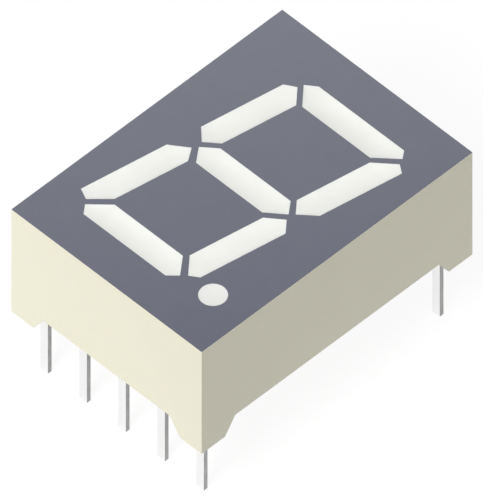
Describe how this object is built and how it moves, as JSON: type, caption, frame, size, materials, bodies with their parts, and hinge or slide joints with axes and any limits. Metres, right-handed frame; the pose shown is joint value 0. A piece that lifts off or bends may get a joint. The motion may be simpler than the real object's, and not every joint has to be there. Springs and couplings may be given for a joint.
{
  "type": "seven segment display",
  "caption": "Single digit display: a shallow box with slanted light bars and a decimal point in a dark face, on two rows of flat pins.",
  "frame": {"origin": "middle of the ten-pin pattern, in the plane on which the housing's feet stand on a circuit board", "axes": "+X to the reader's right across the digit, +Y to the top of the digit, +Z out of the face; the pins point along -Z"},
  "size_m": [0.0124, 0.0176, 0.011],
  "materials": {
    "housing_plastic": "moulded ivory plastic, fine satin",
    "face_ink": "matte blue-grey printed ink",
    "milky_epoxy": "milky diffused epoxy, satin",
    "board_laminate": "glass-filled laminate",
    "copper": "etched copper foil",
    "chip": "sawn and polished crystal",
    "gold_wire": "drawn gold wire",
    "tinned_pin": "tin-plated strip, satin",
    "solder": "reflowed solder",
    "potting_epoxy": "poured epoxy, slightly glossy"
  },
  "bodies": {
    "root": {"housing": "housing_plastic", "face_mask": "face_ink", "segment_a": "milky_epoxy", "segment_b": "milky_epoxy", "segment_c": "milky_epoxy", "segment_d": "milky_epoxy", "segment_e": "milky_epoxy", "segment_f": "milky_epoxy", "segment_g": "milky_epoxy", "decimal_point": "milky_epoxy", "circuit_board": "board_laminate", "copper_tracks": "copper", "led_chip_a": "chip", "led_chip_b": "chip", "led_chip_c": "chip", "led_chip_d": "chip", "led_chip_e": "chip", "led_chip_f": "chip", "led_chip_g": "chip", "led_chip_point": "chip", "bond_wire_a": "gold_wire", "bond_wire_b": "gold_wire", "bond_wire_c": "gold_wire", "bond_wire_d": "gold_wire", "bond_wire_e": "gold_wire", "bond_wire_f": "gold_wire", "bond_wire_g": "gold_wire", "bond_wire_point": "gold_wire", "pin_1": "tinned_pin", "pin_2": "tinned_pin", "pin_3": "tinned_pin", "pin_4": "tinned_pin", "pin_5": "tinned_pin", "pin_6": "tinned_pin", "pin_7": "tinned_pin", "pin_8": "tinned_pin", "pin_9": "tinned_pin", "pin_10": "tinned_pin", "solder_joints": "solder", "potting": "potting_epoxy"}
  },
  "joints": []
}
